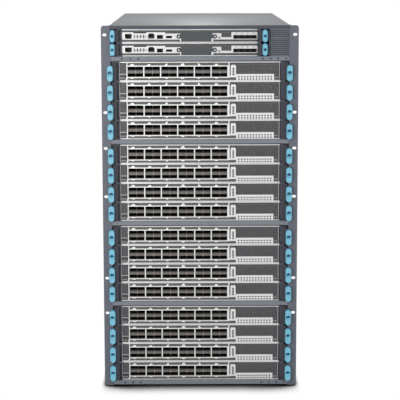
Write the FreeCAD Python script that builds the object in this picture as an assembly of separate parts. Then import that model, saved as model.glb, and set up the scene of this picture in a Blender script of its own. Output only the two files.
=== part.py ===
import FreeCAD, Part
import math
import os

Vector = FreeCAD.Vector

# Driving dimensions, in millimetres and degrees.
# X runs to the right seen from the front, Y to the rear and Z up.
# The origin is on the floor, in the middle of the area that the whole router takes up.

# Housing
body_width = 442.0
body_depth = 813.0          # from the flanges' front face to the rear edge of the sheets
wall = 2.0
flange_reach = 20.3         # each flange stands out this far beside the body: 482.6 over both
flange_thickness = 2.5
flange_leg = 32.0           # from the flange's front face to the rear end of its leg along the wall
flange_corner = 7.0
roof_band = 9.0             # upright strip under the roof's front edge

# Slots in the flanges, put on the holes of a standard rack: unit number, then a, b or c upwards in that unit
flange_slots = "4b 6b 11a 13c 15c 20a"
rack_unit = 44.45
rack_hole_first = 6.35      # from the unit's lower edge to its lowest hole
rack_hole_step = 15.875
rack_offset = 12.7          # from the unit's edge to the floor of the housing
slot_beside_body = 11.55    # from the body's side to the slots' centre: 465.1 between the columns
slot_width = 10.0
slot_height = 7.0

# Rows of boards
card_pitch = 47.8
cards_per_group = 4
group_count = 4
bar_height = 13.0
control_pitch = 33.1
control_count = 2
row_gap = 0.6               # between the front plates of two rows

# Cross bars between the groups
bar_recess = 1.0            # behind the flanges' front face
bar_depth = 14.0
bar_sheet = 2.0

# Front plates and boards
card_recess = 6.0           # the front plates lie behind the flanges' front face
card_inset = 23.8           # from the body's side to the end of a line card's front plate
plate_sheet = 1.5
plate_return = 10.0         # folded edges of a front plate, towards the rear
board_sheet = 2.0
board_setback = 1.0         # behind the folded edges
board_room = 33.0           # from the rear end of a line card's board to the bulkhead
connector_depth = 16.0
connector_height = 26.0
connector_inset = 33.5      # from the end of the front plate

# Port cages of a line card
port_groups = 6
port_group_pitch = 41.2
port_group_width = 36.8
port_inset = 21.4           # from the end of the front plate to the first group
port_height = 7.0
port_depth = 58.0
upper_port_drop = 12.5      # from the card's upper edge to the top of the upper ports
lower_port_drop = 28.8
cage_margin = 2.2
cage_depth = 64.0

# Guides that the boards slide on
guide_reach = 7.0
guide_sheet = 2.5
guide_setback = 24.0
slide_clearance = 0.3
edge_clearance = 1.0        # between a board's side and the wall

# Levers with grips, which lie flat in front of the flanges and fold forward
pivot_reach = 8.8           # from the end of a line card's front plate to the pivot
grip_start = 6.5            # from the pivot to the grip
grip_reach = 12.6           # grips stand this far in front of the flanges
grip_depth = 12.0
grip_width = 15.0
grip_height = 40.0
grip_drop = 28.0            # from the card's upper edge to the middle of its grips
grip_facets = 4             # straight stretches in each rounded end
arm_sheet = 4.0
arm_nose_half_angle = 30.0  # the arm's round nose turns on the pivot between two slanted faces
ear_sheet = 2.0
lever_clearance = 0.3

# Control boards
control_left_inset = 29.2   # from the body's side to the end of the front plate
control_right_inset = 80.4
control_pivot_left_reach = 8.9
control_pivot_right_reach = 5.9
control_grip_width = 14.0
control_grip_height = 30.5
control_board_depth = 300.0
socket_depth = 22.0
socket_wall = 1.0
socket_frame = 15.0         # outer height of every socket's shell
socket_drop = 18.5          # from the board's upper edge to the middle of its sockets
blank_start = 0.4413        # ends of the blank insert, as shares of the front plate's width
blank_end = 0.669
blank_height = 17.0
blank_relief = 1.2

# Single sockets: place of the left edge as a share of the front plate's width, width, height
sockets = (
    (0.0290, 15.4, 11.6),
    (0.1985, 14.6, 11.6),
    (0.2655, 13.6, 9.0),
    (0.3300, 13.8, 5.6),
)
optical_count = 4
optical_pitch = 14.2
optical_width = 13.2
optical_height = 8.4
optical_inset = 3.0         # from the last optical socket to the end of the front plate

# Status panel and the wall beside the control boards
bay_wall_inset = 51.5
panel_gap = 1.7
panel_edge_gap = 0.4
panel_recess = 4.0
panel_depth = 30.0

# Inside and rear
rear_room = 293.0           # from the bulkhead's front face to the rear edge of the sheets
window_inset = 36.0         # from the body's side to the windows of the bulkhead
window_margin = 18.0
fabric_count = 6
fabric_sheet = 2.4
fabric_setback = 14.0
fabric_room = 37.0          # from the fabric boards to the fan trays
supply_bay = 100.0          # width of the column of power supplies
tray_count = 2
tray_depth = 130.0          # inside the housing
tray_step = 20.0            # the trays stand out of the rear by this much
tray_sheet = 1.6
tray_gap = 0.6
fan_count = 3
duct_margin = 12.5          # from the tray's side to the opening of its fans
fan_hub_radius = 30.0
fan_hub_length = 26.0
fan_blades = 5
blade_sheet = 2.4
blade_chord = 23.0
blade_pitch = 38.0
blade_gap = 2.0             # between a blade's tip and the opening's edge
strut_width = 12.0
strut_depth = 6.0
strut_setback = 4.0         # in front of the tray's rear plate
rotor_clearance = 0.3
rear_reach = 35.0           # rear handles stand this far behind the sheets
handle_length = 96.0
handle_height = 14.0
handle_sheet = 3.0
supply_count = 10
supply_gap = 1.0            # between the bulkhead and the supplies
shelf_sheet = 1.5
inlet_width = 26.0
inlet_height = 20.0
inlet_depth = 18.0
inlet_inset = 10.0          # from the supply's lower corner to the inlet
supply_handle_length = 60.0

# Values worked out from the sizes above
group_height = cards_per_group * card_pitch
control_height = control_count * control_pitch
chassis_height = (group_count + 1) * bar_height + group_count * group_height + control_height + roof_band
overall_depth = grip_reach + body_depth + rear_reach
front_y = grip_reach - overall_depth / 2
rear_y = front_y + body_depth
half_body = body_width / 2
inner_x = half_body - wall
half_face = half_body - card_inset
plate_y = front_y + card_recess
pivot_y = front_y - grip_reach + grip_depth - arm_sheet / 2
bulkhead_y = rear_y - rear_room
board_y = plate_y + plate_return + board_setback
board_depth = bulkhead_y - board_room - board_y
cage_low = card_pitch - lower_port_drop - port_height - cage_margin
control_floor = chassis_height - roof_band - control_height
control_left = control_left_inset - half_body
control_right = half_body - control_right_inset
control_width = control_right - control_left
bay_wall_x = half_body - bay_wall_inset
guide_y = front_y + guide_setback
fan_bay_right = inner_x - supply_bay
tray_pitch = (fan_bay_right + inner_x) / tray_count
duct_half = tray_pitch / 2 - duct_margin
fabric_depth = rear_room - wall - fabric_setback - tray_depth - fabric_room
supply_depth = rear_room - wall - supply_gap
through = 2.0


def block(x, y, z):
    """Box between three pairs of limits."""
    return Part.makeBox(x[1] - x[0], y[1] - y[0], z[1] - z[0], Vector(x[0], y[0], z[0]))


def prism(points, span, axis):
    """Straight run of an outline along one axis; its points hold the other two coordinates."""
    place = {
        "x": lambda a, b, along: Vector(along, a, b),
        "y": lambda a, b, along: Vector(a, along, b),
        "z": lambda a, b, along: Vector(a, b, along),
    }[axis]
    corners = [place(a, b, span[0]) for a, b in points]
    face = Part.Face(Part.makePolygon(corners + corners[:1]))
    return face.extrude(place(0, 0, span[1] - span[0]))


def slot(centre_x, centre_z, width, height, y):
    """Level round-ended bar along Y, to cut a slot with."""
    radius = height / 2
    ends = (centre_x - width / 2 + radius, centre_x + width / 2 - radius)
    middle = block(ends, y, (centre_z - radius, centre_z + radius))
    rounds = [Part.makeCylinder(radius, y[1] - y[0], Vector(x, y[0], centre_z), Vector(0, 1, 0)) for x in ends]
    return middle.multiFuse(rounds).removeSplitter()


def mirrored(solids):
    return [solid.mirror(Vector(0, 0, 0), Vector(1, 0, 0)) for solid in solids]


def gaps_between(edges):
    """Stretches between the pairs that a list of edges holds: first to second, third to fourth and on."""
    return list(zip(edges[::2], edges[1::2]))


def group_floor(group):
    """Lower edge of a group of cards, counted from the top."""
    below = group_count - 1 - group
    return bar_height + below * (group_height + bar_height)


def card_floor(index):
    group, place = divmod(index, cards_per_group)
    return group_floor(group) + (cards_per_group - 1 - place) * card_pitch


def control_board_floor(index):
    return control_floor + (control_count - 1 - index) * control_pitch


def rack_hole_height(code):
    """Height above the floor of a rack hole, such as 4b for the second hole of the fourth unit."""
    unit, hole = int(code[:-1]), "abc".index(code[-1])
    return unit * rack_unit + rack_hole_first + hole * rack_hole_step - rack_offset


# Housing

def flange_right():
    """Upright leaf with the rack slots, and its leg along the side wall."""
    outer_x = half_body + flange_reach
    back_y = front_y + flange_thickness
    leaf = block((inner_x, outer_x), (front_y, back_y), (0, chassis_height))
    corners = [e for e in leaf.Edges
               if all(abs(v.X - outer_x) < flange_thickness for v in e.Vertexes)
               and abs(e.Vertexes[0].Z - e.Vertexes[1].Z) < flange_thickness]
    leaf = leaf.makeFillet(flange_corner, corners)
    slots = [slot(half_body + slot_beside_body, rack_hole_height(code), slot_width, slot_height,
                  (front_y - through, back_y + through)) for code in flange_slots.split()]
    leg = block((half_body, half_body + flange_thickness), (back_y, front_y + flange_leg), (0, chassis_height))
    return [leaf.cut(Part.makeCompound(slots)), leg]


def sheets():
    """Side walls, floor, roof and the strip under the roof's front edge."""
    start_y = front_y + flange_thickness
    across = (-inner_x, inner_x)
    side = [block((inner_x, half_body), (start_y, rear_y), (0, chassis_height))]
    floor = block(across, (front_y + bar_recess + bar_depth, rear_y), (0, wall))
    roof = block(across, (start_y, rear_y), (chassis_height - wall, chassis_height))
    band = block(across, (start_y, start_y + wall), (chassis_height - roof_band, chassis_height - wall))
    return side + mirrored(side) + [floor, roof, band]


def guides(top, left, right, depth):
    """Pair of ledges under the side edges of one board, whose underside is at the given height."""
    y = (guide_y, guide_y + depth)
    z = (top - slide_clearance - guide_sheet, top - slide_clearance)
    return [block((left, left + guide_reach), y, z), block((right - guide_reach, right), y, z)]


def bulkhead():
    """Posts and rails in the middle of the housing, with a window behind each group of boards."""
    y = (bulkhead_y, bulkhead_y + wall)
    window_x = half_body - window_inset
    post = [block((window_x, inner_x), y, (wall, chassis_height - wall))]
    edges = [wall]
    for group in reversed(range(group_count)):
        floor = group_floor(group)
        edges += [floor + window_margin, floor + group_height - window_margin]
    edges.append(chassis_height - wall)
    return post + mirrored(post) + [block((-window_x, window_x), y, z) for z in gaps_between(edges)]


def rear_bay():
    """Wall between the fan trays and the power supplies, with a shelf under each supply."""
    divider = block((fan_bay_right, fan_bay_right + wall), (bulkhead_y + wall, rear_y),
                    (wall, chassis_height - wall))
    shelves = []
    for index in range(1, supply_count):
        z = supply_floor(index)
        shelves.append(block((fan_bay_right + wall, inner_x), (rear_y - supply_depth, rear_y),
                             (z - shelf_sheet, z)))
    return [divider] + shelves


def fabric_boards():
    """Upright boards behind the bulkhead that every card plugs into."""
    pitch = (fan_bay_right + inner_x) / fabric_count
    start = bulkhead_y + wall + fabric_setback
    boards = []
    for index in range(fabric_count):
        x = (index + 0.5) * pitch - inner_x
        boards.append(block((x, x + fabric_sheet), (start, start + fabric_depth), (wall, chassis_height - wall)))
    return boards


def chassis_housing():
    flange = flange_right()
    pieces = sheets() + flange + mirrored(flange) + bulkhead() + rear_bay() + fabric_boards()
    for index in range(group_count * cards_per_group):
        pieces += guides(card_floor(index) + cage_low - board_sheet, -inner_x, inner_x, board_depth)
    pieces.append(block((bay_wall_x, bay_wall_x + wall),
                        (front_y + flange_thickness + wall, guide_y + control_board_depth),
                        (control_floor, chassis_height - wall)))
    for index in range(control_count):
        pieces += guides(control_board_height(index), -inner_x, bay_wall_x, control_board_depth)
    return Part.makeCompound(pieces)


def cross_bars():
    """Channels under every group of rows, their open side to the rear."""
    y0 = front_y + bar_recess
    bars = []
    for level in range(group_count + 1):
        z0 = level * (group_height + bar_height)
        z1 = z0 + bar_height
        outline = [
            (y0, z0), (y0 + bar_depth, z0), (y0 + bar_depth, z0 + bar_sheet), (y0 + bar_sheet, z0 + bar_sheet),
            (y0 + bar_sheet, z1 - bar_sheet), (y0 + bar_depth, z1 - bar_sheet), (y0 + bar_depth, z1), (y0, z1),
        ]
        bars.append(prism(outline, (-inner_x, inner_x), "x"))
    return Part.makeCompound(bars)


# Boards

def front_plate(left, right, floor, height, openings_x, opening_z):
    """Sheet round a row of openings, with folded edges above and below towards the rear."""
    z0, z1 = floor + row_gap / 2, floor + height - row_gap / 2
    face_y = (plate_y, plate_y + plate_sheet)
    fold_y = (plate_y + plate_sheet, plate_y + plate_return)
    pieces = [block((left, right), face_y, (z0, opening_z[0])), block((left, right), face_y, (opening_z[1], z1))]
    edges = [left] + [edge for opening in openings_x for edge in opening] + [right]
    pieces += [block(x, face_y, opening_z) for x in gaps_between(edges)]
    pieces += [block((left, right), fold_y, z) for z in ((z0, z0 + plate_sheet), (z1 - plate_sheet, z1))]
    return pieces


def lever_ears(edge_x, pivot, floor, height):
    """Ears above and below the nose of a lever, at one end of a front plate."""
    side = 1 if pivot > edge_x else -1
    z0, z1 = floor + row_gap / 2, floor + height - row_gap / 2
    x = sorted((edge_x, pivot + side * arm_sheet / 2))
    y = (pivot_y - arm_sheet / 2, plate_y + plate_return)
    return [block(x, y, z) for z in ((z0, z0 + ear_sheet), (z1 - ear_sheet, z1))]


def cage(lefts, width, rows, z, side, pocket_depth, depth):
    """Sheets over, between and under the rows of pockets, dividers beside them, and a back."""
    x = (lefts[0] - side, lefts[-1] + width + side)
    y = (plate_y, plate_y + pocket_depth)
    levels = [z[0]] + [edge for row in rows for edge in row] + [z[1]]
    edges = [x[0]] + [edge for left in lefts for edge in (left, left + width)] + [x[1]]
    pieces = [block(x, (y[1], plate_y + depth), z)]
    pieces += [block(x, y, layer) for layer in gaps_between(levels)]
    for row in rows:
        pieces += [block(divider, y, row) for divider in gaps_between(edges)]
    return pieces, x


def line_card(index):
    floor = card_floor(index)
    top = floor + card_pitch
    lefts = [port_inset - half_face + group * port_group_pitch for group in range(port_groups)]
    rows = [(top - drop - port_height, top - drop) for drop in (lower_port_drop, upper_port_drop)]
    cage_z = (floor + cage_low, top - upper_port_drop + cage_margin)
    cages, cage_x = cage(lefts, port_group_width, rows, cage_z, cage_margin, port_depth, cage_depth)
    plate = front_plate(-half_face, half_face, floor, card_pitch, [cage_x], cage_z)
    ears = lever_ears(half_face, half_face + pivot_reach, floor, card_pitch)
    board_x = inner_x - edge_clearance
    board = block((-board_x, board_x), (board_y, board_y + board_depth), (cage_z[0] - board_sheet, cage_z[0]))
    connector_x = half_face - connector_inset
    connector = block((-connector_x, connector_x),
                      (board_y + board_depth - connector_depth, board_y + board_depth),
                      (cage_z[0], cage_z[0] + connector_height))
    return Part.makeCompound(plate + ears + mirrored(ears) + cages + [board, connector])


def pill(centre_x, centre_z, width, height):
    """Outline of an upright grip whose rounded ends are split into a few straight stretches."""
    radius = width / 2
    points = []
    for end in (1, -1):
        for step in range(grip_facets + 1):
            turn = math.radians(180 * step / grip_facets)
            points.append((centre_x + end * radius * math.cos(turn),
                           centre_z + end * (height / 2 - radius + radius * math.sin(turn))))
    return points


def lever_arm(pivot, side, z):
    """Level bar whose inner end slants in on both sides to a round nose about the pivot."""
    radius = arm_sheet / 2
    turn = math.radians(arm_nose_half_angle)
    across, along = radius * math.sin(turn), radius * math.cos(turn)
    shoulder = along - (radius - across) * math.tan(turn)
    half = [(-grip_start, radius), (shoulder, radius), (along, across)]
    rear = [Vector(pivot - side * inward, pivot_y + b, z[0]) for inward, b in half]
    front = [Vector(pivot - side * inward, pivot_y - b, z[0]) for inward, b in reversed(half)]
    nose = Part.Arc(rear[-1], Vector(pivot - side * radius, pivot_y, z[0]), front[0]).toShape()
    sides = Part.makePolygon(front + rear)
    return Part.Face(Part.Wire(sides.Edges + [nose])).extrude(Vector(0, 0, z[1] - z[0]))


def lever(pivot, side, floor, height, grip_size, grip_middle):
    """Arm that turns between the ears, with the grip at its outer end."""
    middle = floor + height / 2
    half = height / 2 - row_gap / 2 - ear_sheet - lever_clearance
    width, tall = grip_size
    tip_y = front_y - grip_reach
    outline = pill(pivot + side * (grip_start + width / 2), grip_middle, width, tall)
    grip = prism(outline, (tip_y, tip_y + grip_depth), "y")
    return Part.makeCompound([lever_arm(pivot, side, (middle - half, middle + half)), grip])


def line_card_lever(index, side):
    floor = card_floor(index)
    return lever(side * (half_face + pivot_reach), side, floor, card_pitch, (grip_width, grip_height),
                 floor + card_pitch - grip_drop)


def control_lever(index, side):
    pivot = control_right + control_pivot_right_reach if side > 0 else control_left - control_pivot_left_reach
    floor = control_board_floor(index)
    return lever(pivot, side, floor, control_pitch, (control_grip_width, control_grip_height),
                 floor + control_pitch / 2)


def socket_height(index):
    """Middle of a control board's sockets."""
    return control_board_floor(index) + control_pitch - socket_drop


def control_board_height(index):
    """Underside of a control board, whose sockets stand on it."""
    return socket_height(index) - socket_frame / 2 - board_sheet


def control_board(index):
    floor = control_board_floor(index)
    middle = socket_height(index)
    frame_z = (middle - socket_frame / 2, middle + socket_frame / 2)
    rows = [([control_left + share * control_width], width, height) for share, width, height in sockets]
    optical_start = control_right - optical_inset - (optical_count - 1) * optical_pitch - optical_width
    rows.append(([optical_start + k * optical_pitch for k in range(optical_count)], optical_width, optical_height))
    shells = []
    openings = []
    for lefts, width, height in rows:
        pocket_z = (middle - height / 2, middle + height / 2)
        pieces, x = cage(lefts, width, [pocket_z], frame_z, socket_wall, socket_depth - socket_wall, socket_depth)
        shells += pieces
        openings.append(x)
    plate = front_plate(control_left, control_right, floor, control_pitch, openings, frame_z)
    blank = block((control_left + blank_start * control_width, control_left + blank_end * control_width),
                  (plate_y - blank_relief, plate_y), (middle - blank_height / 2, middle + blank_height / 2))
    ears = lever_ears(control_left, control_left - control_pivot_left_reach, floor, control_pitch)
    ears += lever_ears(control_right, control_right + control_pivot_right_reach, floor, control_pitch)
    z0 = control_board_height(index)
    board = block((edge_clearance - inner_x, bay_wall_x - edge_clearance),
                  (board_y, board_y + control_board_depth), (z0, z0 + board_sheet))
    return Part.makeCompound(plate + [blank, board] + ears + shells)


def status_panel():
    """Shallow tray beside the control boards, its open side to the rear."""
    x = (bay_wall_x + wall + panel_gap, inner_x - panel_edge_gap)
    y = (front_y + panel_recess, front_y + panel_recess + panel_depth)
    z = (control_floor, chassis_height - roof_band)
    hollow = block((x[0] + plate_sheet, x[1] - plate_sheet), (y[0] + plate_sheet, y[1] + through),
                   (z[0] + plate_sheet, z[1] - plate_sheet))
    return block(x, y, z).cut(hollow)


# Rear

def handle(centre_x, centre_z, length, seat_y):
    """Flat bow handle: two feet on a rear face and the bar between them."""
    half = length / 2
    reach = rear_y + rear_reach
    z = (centre_z - handle_height / 2, centre_z + handle_height / 2)
    feet = [block((centre_x - half, centre_x - half + handle_sheet), (seat_y, reach), z),
            block((centre_x + half - handle_sheet, centre_x + half), (seat_y, reach), z)]
    bar = block((centre_x - half + handle_sheet, centre_x + half - handle_sheet), (reach - handle_sheet, reach), z)
    return feet + [bar]


def fan_rotor(x, y, z):
    """Hub with pitched blades, each on its own flat, that turns in front of the strut."""
    sides = 2 * fan_blades
    turns = [2 * math.pi * (step + 0.5) / sides for step in range(sides)]
    hub = prism([(x + fan_hub_radius * math.sin(turn), z + fan_hub_radius * math.cos(turn)) for turn in turns],
                (y, y + fan_hub_length), "y")
    flat = fan_hub_radius * math.cos(math.pi / sides)
    blades = []
    for index in range(fan_blades):
        blade = block((-blade_chord / 2, blade_chord / 2), (-blade_sheet / 2, blade_sheet / 2),
                      (flat, duct_half - blade_gap))
        blade.rotate(Vector(0, 0, 0), Vector(0, 0, 1), blade_pitch)
        blade.rotate(Vector(0, 0, 0), Vector(0, 1, 0), 360 * index / fan_blades)
        blade.translate(Vector(x, y + fan_hub_length / 2, z))
        blades.append(blade)
    return [hub] + blades


def duct_corners(centre_x, centre_z, y):
    """Four corner plates that make a square opening eight-sided."""
    leg = duct_half * (2 - math.sqrt(2))
    corners = []
    for side in (-1, 1):
        for end in (-1, 1):
            x, z = centre_x + side * duct_half, centre_z + end * duct_half
            corners.append(prism([(x, z), (x - side * leg, z), (x, z - end * leg)], y, "y"))
    return corners


def fan_tray(index):
    """Open-fronted box whose rear plate has an opening for each fan, with struts, rotors, handles and a top lip."""
    x0 = index * tray_pitch - inner_x + tray_gap / 2
    x1 = x0 + tray_pitch - tray_gap
    y = (rear_y - tray_depth, rear_y + tray_step)
    z = (wall + slide_clearance, chassis_height - wall - slide_clearance)
    centre_x = (x0 + x1) / 2
    inside_x = (x0 + tray_sheet, x1 - tray_sheet)
    inside_z = (z[0] + tray_sheet, z[1] - tray_sheet)
    plate = (y[1] - tray_sheet, y[1])
    pieces = [block((x0, x1), y, (z[0], inside_z[0])), block((x0, x1), y, (inside_z[1], z[1])),
              block((x0, inside_x[0]), y, inside_z), block((inside_x[1], x1), y, inside_z),
              block((inside_x[0], centre_x - duct_half), plate, inside_z),
              block((centre_x + duct_half, inside_x[1]), plate, inside_z)]
    pitch = (z[1] - z[0]) / fan_count
    strut_y = plate[0] - strut_setback - strut_depth
    edges = [inside_z[0]]
    for fan in range(fan_count):
        centre_z = z[0] + (fan + 0.5) * pitch
        edges += [centre_z - duct_half, centre_z + duct_half]
        pieces += duct_corners(centre_x, centre_z, plate)
        pieces.append(block(inside_x, (strut_y, strut_y + strut_depth),
                            (centre_z - strut_width / 2, centre_z + strut_width / 2)))
        pieces += fan_rotor(centre_x, strut_y - rotor_clearance - fan_hub_length, centre_z)
    edges.append(inside_z[1])
    pieces += [block((centre_x - duct_half, centre_x + duct_half), plate, rail) for rail in gaps_between(edges)]
    pieces.append(block((x0, x1), (rear_y + slide_clearance, y[1]), (z[1], chassis_height)))
    for seam in range(1, fan_count):
        pieces += handle(centre_x, z[0] + seam * pitch, handle_length, y[1])
    return Part.makeCompound(pieces)


def supply_floor(index):
    """Upper face of the shelf under a power supply, counted from below."""
    return wall + index * (chassis_height - 2 * wall) / supply_count + (shelf_sheet if index else 0)


def power_supplies():
    """Column of plug-in supplies, each with an inlet and a handle at the rear."""
    x = (fan_bay_right + wall + slide_clearance, inner_x - slide_clearance)
    inlet_x = (x[0] + inlet_inset, x[0] + inlet_inset + inlet_width)
    face = (rear_y - inlet_depth, rear_y)
    pieces = []
    for index in range(supply_count):
        top = supply_floor(index + 1) - shelf_sheet if index < supply_count - 1 else chassis_height - wall
        z = (supply_floor(index) + slide_clearance, top - slide_clearance)
        inlet_z = (z[0] + inlet_inset, z[0] + inlet_inset + inlet_height)
        pieces += [block(x, (rear_y - supply_depth, face[0]), z),
                   block((x[0], inlet_x[0]), face, z), block((inlet_x[1], x[1]), face, z),
                   block(inlet_x, face, (z[0], inlet_z[0])), block(inlet_x, face, (inlet_z[1], z[1]))]
        pieces += handle((x[0] + x[1]) / 2, (z[0] + z[1]) / 2, supply_handle_length, rear_y)
    return Part.makeCompound(pieces)


def write(name, shape):
    shape.exportStep("parts/" + name + ".step")


def main():
    os.makedirs("parts", exist_ok=True)
    write("chassis_housing", chassis_housing())
    write("cross_bars", cross_bars())
    write("status_panel", status_panel())
    for index, name in enumerate(("fan_tray_left", "fan_tray_right")):
        write(name, fan_tray(index))
    write("power_supplies", power_supplies())
    for index in range(group_count * cards_per_group):
        name = "line_card_%02d" % (index + 1)
        write(name, line_card(index))
        write(name + "_lever_left", line_card_lever(index, -1))
        write(name + "_lever_right", line_card_lever(index, 1))
    for index in range(control_count):
        name = "control_board_%d" % (index + 1)
        write(name, control_board(index))
        write(name + "_lever_left", control_lever(index, -1))
        write(name + "_lever_right", control_lever(index, 1))


main()
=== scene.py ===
import math

import bmesh
import bpy
from mathutils import Matrix, Vector


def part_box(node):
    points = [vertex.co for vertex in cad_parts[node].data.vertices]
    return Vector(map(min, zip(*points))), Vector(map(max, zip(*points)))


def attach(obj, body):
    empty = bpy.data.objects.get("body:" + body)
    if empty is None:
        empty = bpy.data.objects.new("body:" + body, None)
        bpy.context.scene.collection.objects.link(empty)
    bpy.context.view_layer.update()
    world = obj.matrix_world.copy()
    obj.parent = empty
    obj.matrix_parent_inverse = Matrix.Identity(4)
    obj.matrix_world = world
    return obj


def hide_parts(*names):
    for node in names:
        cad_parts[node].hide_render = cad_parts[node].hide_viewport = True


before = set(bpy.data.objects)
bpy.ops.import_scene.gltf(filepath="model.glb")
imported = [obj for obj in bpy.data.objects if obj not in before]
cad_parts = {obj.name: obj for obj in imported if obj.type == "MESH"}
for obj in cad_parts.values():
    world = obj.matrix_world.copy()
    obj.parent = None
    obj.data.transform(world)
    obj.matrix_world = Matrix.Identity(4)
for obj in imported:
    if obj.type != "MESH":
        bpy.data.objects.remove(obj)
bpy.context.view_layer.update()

# Sizes are in millimetres and become metres where a mesh is made.
# X runs to the right seen from the front, Y to the rear and Z up.
MM = 0.001
FLANGE_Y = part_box("chassis_housing")[0].y / MM  # front face of the rack flanges
REAR_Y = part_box("chassis_housing")[1].y / MM
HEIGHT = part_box("chassis_housing")[1].z / MM
PLATE_Y = FLANGE_Y + 6.0  # front face of every front plate
CARD_COUNT = 16
CONTROL_COUNT = 2
CARD_PITCH = 47.8  # from one line card to the next
CONTROL_PITCH = 33.1
ROW_GAP = 0.6  # between two boards
BAR_COUNT = 5
BAR_HEIGHT = 13.0
LEVEL_PITCH = 4 * CARD_PITCH + BAR_HEIGHT  # from one cross bar to the next

# Front of a line card: X positions, and drops below the card's upper edge
FACE_HALF = 197.2
SHEET = 1.0  # depth of the vents' mesh
RIM_PROUD = 2.2  # how far rims and frames stand out of the plate
LINE_PROUD = 1.5
RIM_DROPS = (2.1, 46.2)  # from the upper rim to the lower one
VENT_DROPS = (1.8, 46.8)
PORT_GROUPS = 6
GROUP_PITCH = 41.2
GROUP_WIDTH = 36.8
PORT_FIRST = -175.8
ROWS_TOP = 12.0  # upper edge of the upper ports
STRIP_TOP = 21.6  # strip between the two rows of ports
STRIP_LOW = 29.0
ROWS_LOW = 37.6  # lower edge of the lower ports
HOLE_PITCH = 2.7  # holes of the vents
HOLE_WIDTH = 2.15
PANE_LEFT = -177.6  # the light frame round the ports
PANE_RIGHT = 70.0
PANE_TOP = 9.5
PANE_LOW = 39.9
TAB_INSET = 10.0  # from the left end of a group to the middle of its tab
# Half width, rise and lean of each group's tab
TAB_FORMS = ((4.8, 4.2, 0.0), (4.2, 3.8, 0.0), (3.2, 5.4, 2.6),
             (4.8, 5.6, 0.0), (3.2, 5.4, -2.6), (4.6, 4.4, 0.0))
LOW_TAB_SHARE = 0.65  # a lower tab is this much of the height of an upper one
BLOCK_LEFT = 89.1  # pale drilled block
BLOCK_RIGHT = 181.9
BLOCK_DROPS = (30.8, 46.3)
BLOCK_PROUD = 1.8
VENT_RIGHT = 194.2

# Front of a control board
CONTROL_LEFT = -190.6
CONTROL_RIGHT = 140.6
CONTROL_LOW = 25.5  # lower edge of the light faces
SCREW_DROP = 18.0

# Boards: half width, and the upper face above the row's lower edge
BOARD_HALF = 218.0
CARD_BOARD = 9.8
CONTROL_BOARD_HALF = 160.0
CONTROL_BOARD = 7.1

# Parts on the boards: heat sinks in columns and rows, chips and capacitors in columns; shares of the board
SINK_COLUMNS = (-0.58, 0.0, 0.58)
SINK_ROWS = (0.3, 0.66)
SINK_HALF = 42.0
SINK_LENGTH = 74.0
SINK_BASE = 3.0
FIN_PITCH = 4.5
FIN_SHEET = 1.2
CHIP_COLUMNS = 12
CHIP_ROWS = (0.2, 0.53, 0.57, 0.9)
# Places in the board parts' list of materials
CHIP, SINK, CAN = range(3)

# Places in the lists of materials of the fronts; EDGE and PANE only on line cards, COVER on control boards.
# SHADED is a dark copy of the cage plating that paints shade at edges, gaps and under lips
FACE, INNER, DARK, VENT, SHADED = range(5)
EDGE, PANE = 5, 6
COVER = 5

# Levers: each grip is an upright pill beside its pivot
PIVOT_FORWARD = 8.6  # from the plates' front face to the pivots
LINE_PIVOT = 206.0
CONTROL_PIVOTS = {"left": -200.7, "right": 146.5}
GRIP_FRONT = -10.0  # from the pivot
GRIP_BACK = 2.0
ARM_HALF_SHEET = 2.0
ARM_HALF = {"line": 21.3, "control": 13.9}  # half of the arm's height
# Offset of the grip from the pivot, its width and its height
PILL = {"line": (13.7, 15.0, 40.0), "control": (12.6, 12.8, 30.5)}
# Middle of the grip under the row's upper edge
PILL_DROP = {"line": 28.0, "control": CONTROL_PITCH / 2}
# How far the dark teal rim shows round the grip: painted shade of the grip's rounded sides
GRIP_SHADE_MARGIN = {"line": 0.9, "control": 2.2}
# Radius of the grip's hole, then half the height of its dark part and how far that lies above the middle; the
# dark part is the screw and a painted shadow in the hole's upper half
SCREW_HOLE = {"line": (6.0, 3.5, 2.1), "control": (3.9, 3.4, 0.2)}
# Places in the levers' list of materials
GRIP, LEVER_ARM, SHADED_HOLE, HOLE_SLOT, GRIP_SHADE_RIM = range(5)

# Housing and rear
WALL_HALF = 221.0
WALL = 2.0
BAR_SCREWS = (-190.0, -170.0, -150.5, 154.0, 173.0, 191.5, 210.5)
TRAY_STEP = 20.0  # the fan trays stand out this far behind the housing
TRAY_CLEAR = 2.3  # from the top of the housing to that of a tray's plate
FANS_PER_TRAY = 3
GUARD_RINGS = (16.0, 31.0, 46.0, 61.0, 74.0)
GUARD_REACH = 84.0  # from the fan's middle to the guard's screws
ROTOR_REACH = 71.0
SUPPLY_COUNT = 10
SUPPLY_GAP = 0.3
SHELF = 1.5

# Steps of round outlines
ROUND_STEPS = 12  # in half a turn


# Mesh making

def limits(node):
    """Corners of a CAD node's box in millimetres."""
    return [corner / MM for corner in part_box(node)]


def row_floor(node):
    """Lower edge of the row that a board fills."""
    return limits(node)[0].z - ROW_GAP / 2


def new_piece(name, mesh, body, materials, at=(0, 0, 0)):
    """Object from a mesh made in metres, placed in millimetres, riding on a body, with a material slot."""
    if not mesh.materials:
        for material in materials:
            mesh.materials.append(material)
    piece = bpy.data.objects.new(name, mesh)
    bpy.context.collection.objects.link(piece)
    piece.location = Vector(at) * MM
    if body:
        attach(piece, body)
    return piece


def finished_mesh(name, bm, smooth=False):
    """Mesh in metres out of one built in millimetres."""
    bmesh.ops.remove_doubles(bm, verts=bm.verts, dist=0.002)
    bmesh.ops.recalc_face_normals(bm, faces=bm.faces)
    bmesh.ops.scale(bm, vec=(MM, MM, MM), verts=bm.verts)
    mesh = bpy.data.meshes.new(name)
    bm.to_mesh(mesh)
    bm.free()
    for polygon in mesh.polygons:
        polygon.use_smooth = smooth
    return mesh


def bevel(piece, width):
    """Rounds the sharp edges of a folded sheet."""
    cut = piece.modifiers.new("edges", "BEVEL")
    cut.width = width * MM
    cut.segments = 2
    cut.limit_method = "ANGLE"
    cut.harden_normals = True


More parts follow.
